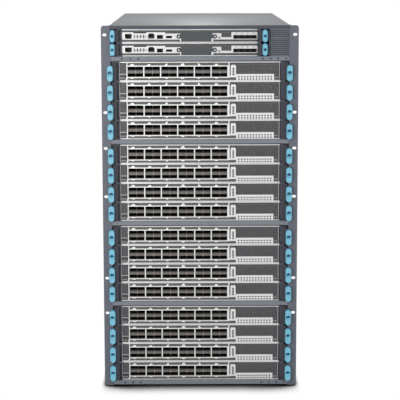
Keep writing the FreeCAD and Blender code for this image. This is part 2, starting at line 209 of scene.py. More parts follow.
def slab(bm, x, y, z, finish=0):
    """Block between pairs of limits; finish is a place in the piece's list of materials."""
    corners = [bm.verts.new((a, b, c)) for c in z for b in y for a in x]
    sides = ((0, 1, 3, 2), (4, 6, 7, 5), (0, 4, 5, 1), (2, 3, 7, 6), (0, 2, 6, 4), (1, 5, 7, 3))
    for side in sides:
        bm.faces.new([corners[i] for i in side]).material_index = finish


def loft(bm, loops, finish=0, close_first=False, close_last=False):
    """Skin over rings of equally many points."""
    rings = [[bm.verts.new(point) for point in loop] for loop in loops]
    for ring, following in zip(rings, rings[1:]):
        for i in range(len(ring)):
            j = (i + 1) % len(ring)
            bm.faces.new((ring[i], ring[j], following[j], following[i])).material_index = finish
    if close_first:
        bm.faces.new(rings[0]).material_index = finish
    if close_last:
        bm.faces.new(rings[-1]).material_index = finish


def plate(bm, outline, y, finish=0):
    """Outline in X and Z, run from one Y to another."""
    loft(bm, [[(x, depth, z) for x, z in outline] for depth in y], finish, True, True)


def capsule(centre, width, height):
    """Outline of an upright rounded bar in X and Z."""
    radius = width / 2
    rise = max(height / 2 - radius, 0)
    points = []
    for end in (1, -1):
        for step in range(ROUND_STEPS + 1):
            turn = math.pi * step / ROUND_STEPS
            points.append((centre[0] + end * radius * math.cos(turn),
                           centre[1] + end * (rise + radius * math.sin(turn))))
    return points


def oval(centre, half_width, half_height):
    """Outline of an oval in X and Z, with as many points as a capsule has."""
    turns = [math.pi * step / ROUND_STEPS for step in range(ROUND_STEPS + 1)]
    return [(centre[0] + end * half_width * math.cos(turn), centre[1] + end * half_height * math.sin(turn))
            for end in (1, -1) for turn in turns]


def rounded_box(x, z, radius, steps=5):
    """Outline of a rectangle with round corners in X and Z."""
    points = []
    corners = ((x[1] - radius, z[1] - radius, 0), (x[0] + radius, z[1] - radius, 1),
               (x[0] + radius, z[0] + radius, 2), (x[1] - radius, z[0] + radius, 3))
    for cx, cz, quarter in corners:
        for step in range(steps + 1):
            turn = math.pi / 2 * (quarter + step / steps)
            points.append((cx + radius * math.cos(turn), cz + radius * math.sin(turn)))
    return points


def block(bm, centre, half, y, finish=0):
    """Slab round a middle (x, z), with its half width and half height."""
    slab(bm, (centre[0] - half[0], centre[0] + half[0]), y, (centre[1] - half[1], centre[1] + half[1]), finish)


def disc(centre, radius, steps=16):
    """Outline of a circle in X and Z."""
    turns = [2 * math.pi * step / steps for step in range(steps)]
    return [(centre[0] + radius * math.cos(turn), centre[1] + radius * math.sin(turn)) for turn in turns]


def turned(centre, profile, steps=16):
    """Rings round an axis along Y, one for each depth and radius of a profile."""
    return [[(x, y, z) for x, z in disc(centre, radius, steps)] for y, radius in profile]


def holed_cell(bm, centre, cell, hole, y, finish):
    """One cell of a perforated sheet: its ring in front and the walls of its hole."""
    front = [bm.verts.new((centre[0] + dx, y[0], centre[1] + dz)) for dx, dz in cell]
    mouth = [bm.verts.new((centre[0] + dx, y[0], centre[1] + dz)) for dx, dz in hole]
    back = [bm.verts.new((centre[0] + dx, y[1], centre[1] + dz)) for dx, dz in hole]
    count = len(cell)
    for i in range(count):
        j = (i + 1) % count
        bm.faces.new((front[i], front[j], mouth[j], mouth[i])).material_index = finish
        bm.faces.new((mouth[i], mouth[j], back[j], back[i])).material_index = finish


def hexagon(radius):
    """Hexagon round the origin, with a corner at its top."""
    return [(radius * math.sin(math.pi / 3 * k), radius * math.cos(math.pi / 3 * k)) for k in range(6)]


def honeycomb(bm, x, z, y, pitch=HOLE_PITCH, hole=HOLE_WIDTH, finish=0):
    """Sheet with hexagonal holes in staggered rows; its ragged border goes behind the frame round it."""
    row = pitch * math.sqrt(3) / 2
    cell = hexagon(pitch / math.sqrt(3))
    opening = hexagon(hole / math.sqrt(3))
    rows = max(1, round((z[1] - z[0]) / row))
    columns = max(1, round((x[1] - x[0]) / pitch))
    start_x = (x[0] + x[1] - (columns - 1) * pitch) / 2
    start_z = (z[0] + z[1] - (rows - 1) * row) / 2
    for r in range(rows):
        shift = pitch / 2 if r % 2 else 0
        for c in range(columns - (r % 2)):
            holed_cell(bm, (start_x + c * pitch + shift, start_z + r * row), cell, opening, y, finish)


def square_cell(width, height):
    """Outline of eight points round a rectangle, to surround an eight-sided hole."""
    w, h = width / 2, height / 2
    return [(w, 0), (w, h), (0, h), (-w, h), (-w, 0), (-w, -h), (0, -h), (w, -h)]


def drilled(bm, x, z, columns, rows, hole, y):
    """Plate with a plain grid of small round holes."""
    width = (x[1] - x[0]) / columns
    height = (z[1] - z[0]) / rows
    opening = disc((0, 0), hole / 2, 8)
    for r in range(rows):
        for c in range(columns):
            centre = (x[0] + (c + 0.5) * width, z[0] + (r + 0.5) * height)
            holed_cell(bm, centre, square_cell(width, height), opening, y, FACE)


# Materials

def linear(colour):
    """sRGB hex value to linear light."""
    parts = [int(colour[i:i + 2], 16) / 255 for i in (0, 2, 4)]
    return tuple(p / 12.92 if p <= 0.04045 else ((p + 0.055) / 1.055) ** 2.4 for p in parts) + (1.0,)


def feed(tree, node, inputs):
    """Sets a node's inputs; one given as (node, output) is linked."""
    for name, value in inputs.items():
        if isinstance(value, tuple) and isinstance(value[0], bpy.types.Node):
            tree.links.new(value[0].outputs[value[1]], node.inputs[name])
        else:
            node.inputs[name].default_value = value


def add_node(tree, kind, settings=None, inputs=None):
    """Node with its settings, values and links."""
    made = tree.nodes.new(kind)
    for name, value in (settings or {}).items():
        setattr(made, name, value)
    feed(tree, made, inputs or {})
    return made


def per_mm(size):
    """Scale of a pattern whose cells are so many millimetres wide, in object coordinates."""
    return 1 / (size * MM)


def shader(name, colour, roughness, metallic=0.0):
    """Material with one principled shader, returned with its tree and shader."""
    material = bpy.data.materials.new(name)
    material.use_nodes = True
    tree = material.node_tree
    surface = tree.nodes["Principled BSDF"]
    feed(tree, surface, {"Base Color": linear(colour), "Roughness": roughness, "Metallic": metallic})
    return material, tree, surface


def object_axes(tree):
    """Position in the object's own frame, and the node that splits it into X, Y and Z."""
    place = add_node(tree, "ShaderNodeTexCoord")
    return place, add_node(tree, "ShaderNodeSeparateXYZ", None, {"Vector": (place, "Object")})


def colour_and_gloss(tree, surface, noise, colours, spread, roughness):
    """Two tones and a change of gloss, both from one noise."""
    tone = add_node(tree, "ShaderNodeValToRGB", None, {"Fac": (noise, "Fac")})
    for element, side, colour in zip(tone.color_ramp.elements, (-1, 1), colours):
        element.position = 0.5 + side * spread
        element.color = linear(colour)
    gloss = add_node(tree, "ShaderNodeMapRange", None,
                     {"Value": (noise, "Fac"), "To Min": roughness[0], "To Max": roughness[1]})
    feed(tree, surface, {"Base Color": (tone, "Color"), "Roughness": (gloss, "Result")})
    return tone


def grain(tree, surface, colours, cell, depth, roughness):
    """Fine mottle of one finish: colour, gloss and height from one noise; cell and depth in millimetres."""
    place = add_node(tree, "ShaderNodeTexCoord")
    noise = add_node(tree, "ShaderNodeTexNoise", None,
                     {"Vector": (place, "Object"), "Scale": per_mm(cell), "Detail": 3.0})
    tone = colour_and_gloss(tree, surface, noise, colours, 0.2, roughness)
    relief = add_node(tree, "ShaderNodeBump", None,
                      {"Height": (noise, "Fac"), "Strength": 0.4, "Distance": depth * MM})
    feed(tree, surface, {"Normal": (relief, "Normal")})
    return tone


# Orange peel of powder coat: width and depth of its cells, and the roughness between its hollows and heights
ORANGE_PEEL = (1.4, 0.05, (0.42, 0.56))
# Zinc plating: darker and lighter streaks, and how much of it looks like bare metal
ZINC = ("9b9fa4", "adb1b6", 0.55)


def powder_coat(name, dark, light):
    """Powder-coated sheet steel: matt, with a fine orange-peel surface about a millimetre across."""
    material, tree, surface = shader(name, light, 0.5)
    grain(tree, surface, (dark, light), *ORANGE_PEEL)
    return material


def housing_paint():
    """Powder-coated steel in slate grey, matt with orange peel. The roof's top has a plainer grey of its own,
    painted light that stands in for how the same paint looks under the lamps at a low angle, and the strip
    under its front edge is darker."""
    roof_skin = 0.5
    roof_band = 9.0
    band_half = WALL_HALF - 1.5
    material, tree, surface = shader("powder_coated_steel_slate", "666a74", 0.5)
    tone = grain(tree, surface, ("565a64", "5e626d"), *ORANGE_PEEL)
    axes = object_axes(tree)[1]
    high = add_node(tree, "ShaderNodeMath", {"operation": "GREATER_THAN"},
                    {0: (axes, "Z"), 1: (HEIGHT - roof_band) * MM})
    aside = add_node(tree, "ShaderNodeMath", {"operation": "ABSOLUTE"}, {0: (axes, "X")})
    inside = add_node(tree, "ShaderNodeMath", {"operation": "LESS_THAN"},
                      {0: (aside, "Value"), 1: band_half * MM})
    band = add_node(tree, "ShaderNodeMath", {"operation": "MULTIPLY"},
                    {0: (high, "Value"), 1: (inside, "Value")})
    dark = add_node(tree, "ShaderNodeMix", {"data_type": "RGBA"},
                    {"Factor": (band, "Value"), "A": (tone, "Color"), "B": linear("373c47")})
    # The roof's plainer grey is painted light: it stands in for the lit look of the same powder coat
    roof = add_node(tree, "ShaderNodeMath", {"operation": "GREATER_THAN"},
                    {0: (axes, "Z"), 1: (HEIGHT - roof_skin) * MM})
    plain = add_node(tree, "ShaderNodeMix", {"data_type": "RGBA"},
                     {"Factor": (roof, "Value"), "A": (dark, "Result"), "B": linear("5f6165")})
    feed(tree, surface, {"Base Color": (plain, "Result")})
    return material


def plated_steel(name, dark, light, metallic=0.35):
    """Zinc- or nickel-plated sheet, rolled: bright, with faint streaks along the sheet."""
    material, tree, surface = shader(name, light, 0.35, metallic)
    place = add_node(tree, "ShaderNodeTexCoord")
    stretch = add_node(tree, "ShaderNodeMapping", None,
                       {"Vector": (place, "Object"), "Scale": (0.06, 1.0, 1.0)})
    streaks = add_node(tree, "ShaderNodeTexNoise", None,
                       {"Vector": (stretch, "Vector"), "Scale": per_mm(0.8), "Detail": 4.0})
    colour_and_gloss(tree, surface, streaks, (dark, light), 0.15, (0.28, 0.44))
    return material


def moulded_plastic(name, dark, light, roughness=(0.32, 0.42)):
    """Injection-moulded ABS: even colour, slight sheen, very fine spark-eroded grain."""
    material, tree, surface = shader(name, light, 0.35)
    grain(tree, surface, (dark, light), 0.7, 0.02, roughness)
    return material


def board_inside(name, painted_shade_depth, face):
    """Near-black sheet and cages up to the given depth behind the front plate, painted shade for the dark
    inside seen through the vents and ports, grey painted ears beyond the ends of the plate, and behind them a
    green glass-fibre board with lighter copper tracks under its lacquer."""
    material, tree, surface = shader(name, "101012", 0.55)
    place, axes = object_axes(tree)
    behind = add_node(tree, "ShaderNodeMath", {"operation": "GREATER_THAN"},
                      {0: (axes, "Y"), 1: (PLATE_Y + painted_shade_depth) * MM})
    noise = add_node(tree, "ShaderNodeTexNoise", None,
                     {"Vector": (place, "Object"), "Scale": per_mm(2.0), "Detail": 3.0})
    tracks = add_node(tree, "ShaderNodeTexBrick", None, {
        "Vector": (place, "Object"), "Scale": per_mm(9.0), "Color1": linear("1f5a3c"),
        "Color2": linear("1a4f35"), "Mortar": linear("2f7450"), "Mortar Size": 0.03})
    # Near-black close behind the front plate: painted shade of the board's inside
    metal = add_node(tree, "ShaderNodeMix", {"data_type": "RGBA"},
                     {"Factor": (noise, "Fac"), "A": linear("060607"), "B": linear("0d0d0e")})
    left = add_node(tree, "ShaderNodeMath", {"operation": "LESS_THAN"}, {0: (axes, "X"), 1: face[0] * MM})
    right = add_node(tree, "ShaderNodeMath", {"operation": "GREATER_THAN"}, {0: (axes, "X"), 1: face[1] * MM})
    beyond = add_node(tree, "ShaderNodeMath", {"operation": "MAXIMUM"},
                      {0: (left, "Value"), 1: (right, "Value")})
    front = add_node(tree, "ShaderNodeMix", {"data_type": "RGBA"},
                     {"Factor": (beyond, "Value"), "A": (metal, "Result"), "B": linear("434551")})
    colour = add_node(tree, "ShaderNodeMix", {"data_type": "RGBA"},
                      {"Factor": (behind, "Value"), "A": (front, "Result"), "B": (tracks, "Color")})
    feed(tree, surface, {"Base Color": (colour, "Result")})
    return material


def fan_tray_finish(name, centre_x, first_z, pitch_z):
    """Zinc-plated tray with faint streaks; the rotors and struts inside its ducts are black nylon."""
    material = plated_steel(name, *ZINC)
    tree = material.node_tree
    surface = tree.nodes["Principled BSDF"]
    steel = surface.inputs["Base Color"].links[0].from_node
    axes = object_axes(tree)[1]
    across = add_node(tree, "ShaderNodeMath", {"operation": "SUBTRACT"}, {0: (axes, "X"), 1: centre_x * MM})
    rise = add_node(tree, "ShaderNodeMath", {"operation": "SUBTRACT"}, {0: (axes, "Z"), 1: first_z * MM})
    up = add_node(tree, "ShaderNodeMath", {"operation": "WRAP"},
                  {0: (rise, "Value"), 1: pitch_z / 2 * MM, 2: -pitch_z / 2 * MM})
    flat = add_node(tree, "ShaderNodeCombineXYZ", None, {"X": (across, "Value"), "Y": (up, "Value")})
    radius = add_node(tree, "ShaderNodeVectorMath", {"operation": "LENGTH"}, {0: (flat, "Vector")})
    within = add_node(tree, "ShaderNodeMath", {"operation": "LESS_THAN"},
                      {0: (radius, "Value"), 1: ROTOR_REACH * MM})
    inside = add_node(tree, "ShaderNodeMath", {"operation": "LESS_THAN"},
                      {0: (axes, "Y"), 1: (REAR_Y + TRAY_STEP - WALL) * MM})
    rotor = add_node(tree, "ShaderNodeMath", {"operation": "MULTIPLY"},
                     {0: (within, "Value"), 1: (inside, "Value")})
    colour = add_node(tree, "ShaderNodeMix", {"data_type": "RGBA"},
                      {"Factor": (rotor, "Value"), "A": (steel, "Color"), "B": linear("141416")})
    metal = add_node(tree, "ShaderNodeMapRange", None,
                     {"Value": (rotor, "Value"), "To Min": ZINC[2], "To Max": 0.0})
    feed(tree, surface, {"Base Color": (colour, "Result"), "Metallic": (metal, "Result")})
    return material


HOUSING = housing_paint()
# Powder coats: matt greys with a fine orange peel, so that edges catch a soft light
BARS = powder_coat("powder_coated_steel_bar", "70757f", "797e88")
PANEL_MESH = powder_coat("powder_coated_mesh", "626a77", "6d7582")
DARK_COAT = powder_coat("powder_coated_steel_dark", "454754", "4d4f5d")
SLATE = powder_coat("slate_blank_cover", "30373a", "383f42")
# Plated sheets: rolled metal with faint streaks; the vent meshes and the cage edge are darker copies of the
# plating, with the shade in their holes and gaps painted in
MESH = plated_steel("nickel_mesh_painted_shade", "6a6a6d", "76767a", 0.2)
PANE_MESH = plated_steel("nickel_mesh_round_ports", "807d7a", "8d8a87", 0.2)
# Dark copy of the cage plating: painted shade at edges and gaps
SHADED_CAGE_EDGE = plated_steel("cage_edge_painted_shade", "2a2928", "343230", 0.2)
GREY_EDGE = plated_steel("nickel_plated_edge", "98989a", "a6a6a8")
SILVER = plated_steel("nickel_plated_sheet", "d2d2d2", "e4e4e3")
SATIN_NICKEL = plated_steel("satin_nickel_plated_sheet", "c0c0c2", "d2d2d3")
CAGE = plated_steel("tin_plated_cage", "5e5853", "6b6560", 0.3)
GUARD_WIRE = plated_steel("nickel_plated_wire", "b4b6b8", "c6c8ca", 0.7)
REAR_STEEL = plated_steel("zinc_plated_sheet", *ZINC)
ALUMINIUM = plated_steel("extruded_aluminium", "b6b8ba", "c6c8ca", 0.7)
# The dark blue is the screw, and also paints the shadow in the upper half of each grip's hole
SCREW_STEEL_AND_HOLE_SHADE = plated_steel("blued_screw_steel_and_painted_hole_shade", "1f5873", "2a6884", 0.2)
# Moulded plastics: even colours with a soft sheen; the arms are matt
BLACK = moulded_plastic("black_moulded_abs", "08080a", "101012")
BLUE = moulded_plastic("blue_moulded_abs", "72b7d1", "7dc2db")
# Dark teal: the supplies' latch colour, and painted shade round the grips
TEAL_PLASTIC_AND_GRIP_SHADE = moulded_plastic("dark_teal_abs_and_painted_grip_shade", "1f4352", "274c5c")
ARM = moulded_plastic("grey_moulded_abs", "26272f", "2e2f38", (0.6, 0.7))
# Bodies of the boards: near-black behind the front, painted shade for the dark inside seen through vents and
# ports; green lacquered glass fibre further back
CARD_BODY = board_inside("card_inside_painted_shade_and_glass_fibre_card", 66.0, (-FACE_HALF, FACE_HALF))
CONTROL_BODY = board_inside("socket_painted_shade_and_glass_fibre_board", 23.0,
                            (CONTROL_LEFT, CONTROL_RIGHT))


# Line cards

def tab_outline(group, left, base, direction):
    """Small label tab over or under a group of ports; its form changes from group to group."""
    half, rise, lean = TAB_FORMS[group]
    centre = left + TAB_INSET
    steps = 8
    points = []
    for step in range(steps + 1):
        turn = math.pi * step / steps
        height = math.sin(turn)
        points.append((centre + half * math.cos(turn) + lean * height,
                       base + direction * rise * height))
    return points


def port_rows(strip, tab):
    """Frames round the two rows of ports, the strip between the rows and the tabs of each group."""
    strip((PANE_LEFT, PANE_RIGHT), (PANE_TOP, ROWS_TOP))
    strip((PANE_LEFT, PANE_RIGHT), (ROWS_LOW, PANE_LOW))
    divider_half = 0.5
    port_depth = 12.0
    for group in range(PORT_GROUPS):
        left = PORT_FIRST + group * GROUP_PITCH
        right = left + GROUP_WIDTH
        middle = (left + right) / 2
        end = left + GROUP_PITCH if group < PORT_GROUPS - 1 else PANE_RIGHT
        across = (left - 1.4, right + 0.4)
        divider = (middle - divider_half, middle + divider_half)
        strip((across[1], end - 1.4 if end < PANE_RIGHT else end), (ROWS_TOP, ROWS_LOW))
        # Painted shade: the SHADED strip at the cage strip's edges, and the dividers between the ports
        strip(across, (STRIP_TOP, STRIP_LOW), 0.5, SHADED)
        strip(across, (STRIP_TOP + 0.6, STRIP_LOW - 0.7), 1.0, INNER)
        strip(divider, (STRIP_TOP, STRIP_LOW), 1.3, EDGE)
        strip(divider, (ROWS_TOP, ROWS_LOW), 1.0, SHADED, port_depth)
        tab(tab_outline(group, left, -PANE_TOP - 0.1, 1))
        tab(tab_outline(group, left, -PANE_LOW + 0.9, -LOW_TAB_SHARE))


def light_window(strip, tab):
    """Light-coloured window with five dark light pipes in a column."""
    edge = 73.0
    pipes = 5
    pipe_first, pipe_pitch, pipe_half = -16.4, 4.0, 1.45
    strip((PANE_RIGHT, edge), (RIM_DROPS[0], 39.3), RIM_PROUD)
    strip((edge, BLOCK_LEFT), (34.6, 38.8))
    tab(rounded_box((75.6, 88.5), (-35.0, -9.6), 1.6), 2.0)
    for x in (79.2, 84.8):
        tab(disc((x, -9.8), 2.0, 12), 2.0)
    for pipe in range(pipes):
        z = pipe_first - pipe * pipe_pitch
        tab(rounded_box((79.8, 84.4), (z - pipe_half, z + pipe_half), 0.6, 3), 2.3, DARK)


def left_end(strip, vent, tab):
    """Vent, folded lip and latch loops at the left end, up to the upright edge of the port pane."""
    line = 1.0 - FACE_HALF
    vent_low, lip_low, latch_top = 29.6, 31.6, 38.6
    loop_top, loop_low, loop_foot = 39.2, 40.4, 42.4
    wire_half = 0.4
    strip((-FACE_HALF, line), RIM_DROPS, LINE_PROUD, EDGE)
    vent((line - 0.1, -179.2), (VENT_DROPS[0], vent_low + 0.2))
    strip((line, -180.6), (vent_low, lip_low), LINE_PROUD, EDGE)
    # Painted shade under the folded lip
    strip((line, -179.6), (lip_low, latch_top), 0.6, SHADED)
    vent((line - 0.1, PANE_LEFT + 0.3), (latch_top, VENT_DROPS[1]))
    for x in ((-195.4, -190.8), (-189.4, -184.8)):
        strip(x, (loop_top, loop_low), 2.0, EDGE)
        for edge in x:
            strip((edge - wire_half, edge + wire_half), (loop_low, loop_foot), 2.0, EDGE)
    strip((-179.8, PANE_LEFT), (RIM_DROPS[0], 38.9), RIM_PROUD)
    tab([(-180.0, -38.9), (-177.4, -38.9), (-177.4, -44.0), (-182.0, -46.3)], RIM_PROUD)


def right_end(bm, strip, vent, tab):
    """Wide vent with a pale drilled block under it."""
    top = CARD_PITCH
    hidden = 0.6
    crease = (7.5, 8.3)
    holes_x = (BLOCK_LEFT + 2.9, BLOCK_LEFT + 89.3)
    holes_top = 34.7
    vent((BLOCK_LEFT - hidden, VENT_RIGHT), (VENT_DROPS[0], BLOCK_DROPS[0] + hidden))
    strip((BLOCK_LEFT + hidden, VENT_RIGHT), crease, 1.2, INNER)
    strip((130.3, 131.3), (crease[1], 26.0), 1.2, INNER)
    tab(disc((174.4, -15.8), 2.6), 1.7, INNER)
    drilled(bm, holes_x, (top - BLOCK_DROPS[1], top - holes_top), 12, 2, 4.3, (-BLOCK_PROUD, 0.0))
    strip((BLOCK_LEFT, holes_x[0]), BLOCK_DROPS, BLOCK_PROUD)
    strip(holes_x, (BLOCK_DROPS[0], holes_top), BLOCK_PROUD)
    strip((holes_x[1], BLOCK_RIGHT), BLOCK_DROPS, BLOCK_PROUD)
    vent((BLOCK_RIGHT - hidden, VENT_RIGHT), (BLOCK_DROPS[0] + hidden, VENT_DROPS[1]))
    for x in (185.2, 189.6):
        tab(disc((x, -39.5), 1.1, 8))
    strip((VENT_RIGHT - 0.4, VENT_RIGHT + 1.4), RIM_DROPS, LINE_PROUD, EDGE)


def line_card_front():
    """Nickel-plated front sheet of a line card, its lower edge at z = 0 and its face at y = 0."""
    bm = bmesh.new()
    top = CARD_PITCH

    def strip(x, drops, proud=LINE_PROUD, finish=FACE, back=0.0):
        slab(bm, x, (-proud, back), (top - drops[1], top - drops[0]), finish)

    def vent(x, drops, finish=VENT):
        honeycomb(bm, x, (top - drops[1], top - drops[0]), (-SHEET, 0.0), finish=finish)

    def tab(outline, proud=LINE_PROUD, finish=FACE):
        plate(bm, [(x, top + z) for x, z in outline], (-proud, -0.1), finish)

    strip((-FACE_HALF, FACE_HALF), (0.3, 2.5), RIM_PROUD)
    strip((-FACE_HALF, FACE_HALF), (45.7, 47.5), RIM_PROUD)
    left_end(strip, vent, tab)
    vent((PANE_LEFT - 0.5, PANE_RIGHT + 0.5), (VENT_DROPS[0], 10.4), PANE)
    vent((PANE_LEFT - 0.5, BLOCK_LEFT + 0.3), (38.2, 46.4), PANE)
    port_rows(strip, tab)
    vent((PANE_RIGHT + 2.4, BLOCK_LEFT + 0.3), (VENT_DROPS[0], 9.2))
    light_window(strip, tab)
    right_end(bm, strip, vent, tab)
    return finished_mesh("line_card_front", bm)


def end_cover(name, x, height):
    """Dark folded cover between the end of a front plate and the flange, behind the lever."""
    margin = 0.8
    face, lip, depth = 3.0, 2.2, 9.5
    bm = bmesh.new()
    slab(bm, x, (face, depth), (margin, height - margin))
    slab(bm, x, (lip, face), (margin, 2.2))
    return finished_mesh(name, bm)


# Levers

def lever_mesh(kind, side):
    """Upright grip with a hole for its captive screw, on a level arm; the pivot is at the origin."""
    bm = bmesh.new()
    offset, width, height = PILL[kind]
    pitch = CARD_PITCH if kind == "line" else CONTROL_PITCH
    centre = (side * offset, pitch / 2 - PILL_DROP[kind])
    hole, tall, rise = SCREW_HOLE[kind]
    rim = 0.3
    # Inset of the grip's outline at each depth, from its back to its rounded front
    profile = ((0.7, GRIP_BACK), (0.0, GRIP_BACK - 0.7), (0.0, GRIP_FRONT + 4.4), (0.25, GRIP_FRONT + 2.8),
               (0.9, GRIP_FRONT + 1.3), (1.9, GRIP_FRONT + 0.4), (3.0, GRIP_FRONT + 0.05), (3.6, GRIP_FRONT))
    loops = []
    for inset, y in profile:
        inset = min(inset, width / 2 - hole - rim)
        loops.append([(x, y, z) for x, z in capsule(centre, width - 2 * inset, height - 2 * inset)])
    # The dark part of the hole is raised above its middle: painted shadow in the hole's upper half, over the
    # screw at its bottom
    shade = (centre[0], centre[1] + rise)
    neck = [(x, GRIP_FRONT + 3.2, z) for x, z in oval(shade, hole * 0.88, tall)]
    loops.append([(x, GRIP_FRONT, z) for x, z in oval(centre, hole, hole)])
    loops.append([(x, GRIP_FRONT + 0.7, z) for x, z in oval(centre, hole - 0.4, hole - 0.4)])
    loops.append(neck)
    loft(bm, loops, GRIP, True, False)
    rings = [neck] + [[(x, GRIP_FRONT + deep, z) for x, z in oval(shade, hole * share, tall * share)]
                      for share, deep in ((0.84, 3.5), (0.8, 7.4))]
    loft(bm, rings, SHADED_HOLE, False, True)
    slab(bm, (shade[0] - 0.4 * hole, shade[0] + 0.4 * hole), (GRIP_FRONT + 7.0, GRIP_FRONT + 7.5),
         (shade[1] - 0.4, shade[1] + 0.4), HOLE_SLOT)
    # Dark teal rim round the grip: painted shade of its rounded sides
    shade_rim = capsule(centre, width + 2 * GRIP_SHADE_MARGIN[kind], height + 1.0)
    loft(bm, [[(x, y, z) for x, z in shade_rim] for y in (GRIP_BACK - 3.0, GRIP_BACK)], GRIP_SHADE_RIM, True, True)
    under_grip = 3.0
    nose = 2.6
    corner = 2.4
    ends = sorted((-side * nose, side * (offset - width / 2 + under_grip)))
    outline = rounded_box(ends, (-ARM_HALF[kind], ARM_HALF[kind]), corner)
    arm = [[(x, y, z) for x, z in outline] for y in (-ARM_HALF_SHEET, ARM_HALF_SHEET)]
    loft(bm, arm, LEVER_ARM, True, True)
    return finished_mesh(kind + ("_lever_left" if side < 0 else "_lever_right"), bm, smooth=True)


def add_levers():
    """Two levers on every board; each takes the place of the plain one."""
    shapes = {(kind, side): lever_mesh(kind, side) for kind in PILL for side in (-1, 1)}
    boards = [("line_card_%02d" % (i + 1), "line") for i in range(CARD_COUNT)]
    boards += [("control_board_%d" % (i + 1), "control") for i in range(CONTROL_COUNT)]
    for board, kind in boards:
        pitch = CARD_PITCH if kind == "line" else CONTROL_PITCH
        middle = row_floor(board) + pitch / 2
        for word, side in (("left", -1), ("right", 1)):
            node = board + "_lever_" + word
            pivot = side * LINE_PIVOT if kind == "line" else CONTROL_PIVOTS[word]
            at = (pivot, PLATE_Y - PIVOT_FORWARD, middle)
            piece = new_piece(node + "_grip", shapes[(kind, side)], node, (BLUE, ARM, SCREW_STEEL_AND_HOLE_SHADE, BLACK, TEAL_PLASTIC_AND_GRIP_SHADE), at)
            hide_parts(node)
    for shape in shapes.values():
        shape.set_sharp_from_angle(angle=math.radians(42))


def finned_sink(bm, x, y, z, height):
    """Extruded aluminium heat sink: a base with upright fins that run to the rear."""
    slab(bm, x, y, (z, z + SINK_BASE), SINK)
    fins = int((x[1] - x[0]) / FIN_PITCH)
    for fin in range(fins):
        left = x[0] + (fin + 0.5) * (x[1] - x[0]) / fins - FIN_SHEET / 2
        slab(bm, (left, left + FIN_SHEET), y, (z + SINK_BASE, z + height), SINK)


def capacitor(bm, centre, z, height):
    """Upright can with a narrower top."""
    rings = [[(centre[0] + r * math.cos(k * math.pi / 6), centre[1] + r * math.sin(k * math.pi / 6), z + up)
              for k in range(12)] for up, r in ((0.0, 3.4), (height, 3.4), (1.08 * height, 3.0))]
    loft(bm, rings, CAN, False, True)


def board_parts(name, half_width, y, z, tall):
    """Heat sinks, power bricks, memory chips and capacitors soldered to a board, and its stiffening rails."""
    bm = bmesh.new()
    depth = y[1] - y[0]
    brick = (22.0, 17.0)
    brick_start = y[0] + 0.12 * depth
    can_y = y[0] + 0.16 * depth + 12.0
    rail_x = (half_width - 12.0, half_width - 9.0)
    for column in SINK_COLUMNS:
        middle = column * half_width
        for row in SINK_ROWS:
            start = y[0] + row * depth
            finned_sink(bm, (middle - SINK_HALF, middle + SINK_HALF), (start, start + SINK_LENGTH), z, tall)
    for column in range(CHIP_COLUMNS):
        left = 0.9 * half_width * (2 * column / CHIP_COLUMNS - 1)
        slab(bm, (left, left + brick[0]), (brick_start, brick_start + brick[1]), (z, z + 0.4 * tall), CHIP)
        for row in CHIP_ROWS:
            start = y[0] + row * depth
            slab(bm, (left + 3.0, left + 15.0), (start, start + 9.0), (z, z + 1.4), CHIP)
        for aside in (5.0, 16.0):
            capacitor(bm, (left + aside, can_y), z, 0.5 * tall)
    for side in (-1, 1):
        slab(bm, sorted(side * x for x in rail_x), (y[0] + 4.0, y[1] - 4.0), (z, z + 0.3 * tall), SINK)
    return finished_mesh(name, bm)


def dress_board(node, front, materials, covers, parts, pitch_floor, body_material):
    """Front plate, end covers and parts of one board, and the finish of its body."""
    at = (0, PLATE_Y, pitch_floor)
    new_piece(node + "_front", front, node, materials, at)
    for word, cover in zip(("left", "right"), covers):
        new_piece(node + "_end_cover_" + word, cover, node, (DARK_COAT,), at)
    new_piece(node + "_board_parts", parts, node, (BLACK, ALUMINIUM, CAGE), (0, 0, pitch_floor))
    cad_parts[node].data.materials[0] = body_material


def add_line_cards():
    """The line cards' fronts, and the parts on their boards."""
    front = line_card_front()
    rear = limits("line_card_01")[1].y
    parts = board_parts("card_parts", BOARD_HALF, (PLATE_Y + 70.0, rear - 20.0), CARD_BOARD, 28.0)
    cover_x = (FACE_HALF + 0.4, BOARD_HALF - 0.4)
    covers = [end_cover("card_end_cover", sorted(side * x for x in cover_x), CARD_PITCH) for side in (-1, 1)]
    materials = (SILVER, CAGE, BLACK, MESH, SHADED_CAGE_EDGE, GREY_EDGE, PANE_MESH)
    for i in range(CARD_COUNT):
        node = "line_card_%02d" % (i + 1)
        dress_board(node, front, materials, covers, parts, row_floor(node), CARD_BODY)


# Control boards

def windowed_face(strip, x, drops, windows):
    """Sheet between X limits and drops, left open at each window of (left, right, upper drop, lower drop)."""
    cursor = x[0]
    for left, right, high, low in windows:
        strip((cursor, left), drops)
        strip((left, right), (drops[0], high))
        strip((left, right), (low, drops[1]))
        cursor = right
    strip((cursor, x[1]), drops)


def socket_frame(strip, x, drops):
    """Plated shell of a socket, seen as a thin grey frame in its window."""
    proud = 1.9
    rim = 0.8
    strip((x[0], x[0] + rim), drops, proud, INNER)
    strip((x[1] - rim, x[1]), drops, proud, INNER)
    strip((x[0] + rim, x[1] - rim), (drops[0], drops[0] + 0.7), proud, INNER)


